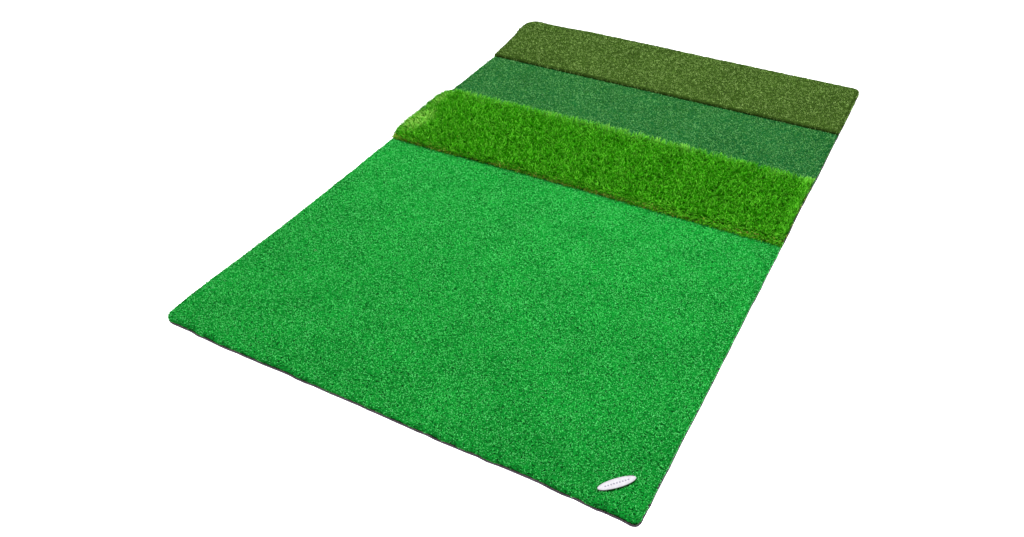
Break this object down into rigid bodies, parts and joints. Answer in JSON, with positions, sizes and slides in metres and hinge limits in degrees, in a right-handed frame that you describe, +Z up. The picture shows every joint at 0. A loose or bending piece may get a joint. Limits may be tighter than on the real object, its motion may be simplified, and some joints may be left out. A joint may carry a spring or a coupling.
{
  "type": "golf hitting mat",
  "caption": "Flat rectangular golf hitting mat: strips of short, long and medium artificial turf laminated across one thin non-slip foam base, with an oval badge in one corner.",
  "frame": {"origin": "centre of the mat's underside, on the floor", "axes": "+Z up, +X across the mat's width with the badge on the +X side, +Y along its length from the putting turf the player stands on to the first-cut turf at the far end"},
  "size_m": [1.1046, 1.8, 0.036],
  "materials": {
    "antislip_rubber": "matte",
    "closed_cell_foam": "matte",
    "hot_melt_glue": "satin",
    "latex": "matte",
    "backing_cloth": "matte",
    "putting_yarn": "satin",
    "rough_yarn": "satin",
    "thatch_yarn": "matte",
    "fairway_yarn": "satin",
    "first_cut_yarn": "satin",
    "badge_white": "satin",
    "badge_grey": "satin"
  },
  "bodies": {
    "root": {"antislip_sheet": "antislip_rubber", "foam_pad": "closed_cell_foam", "putting_glue_film": "hot_melt_glue", "putting_latex_coat": "latex", "putting_backing_cloth": "backing_cloth", "putting_pile": "putting_yarn", "rough_glue_film": "hot_melt_glue", "rough_latex_coat": "latex", "rough_backing_cloth": "backing_cloth", "rough_pile": "rough_yarn", "fairway_glue_film": "hot_melt_glue", "fairway_latex_coat": "latex", "fairway_backing_cloth": "backing_cloth", "fairway_pile": "fairway_yarn", "first_cut_glue_film": "hot_melt_glue", "first_cut_latex_coat": "latex", "first_cut_backing_cloth": "backing_cloth", "first_cut_pile": "first_cut_yarn", "rough_thatch": "thatch_yarn", "badge_plate": "badge_white", "badge_dots": "badge_grey", "badge_glue_pad": "hot_melt_glue"}
  },
  "joints": []
}
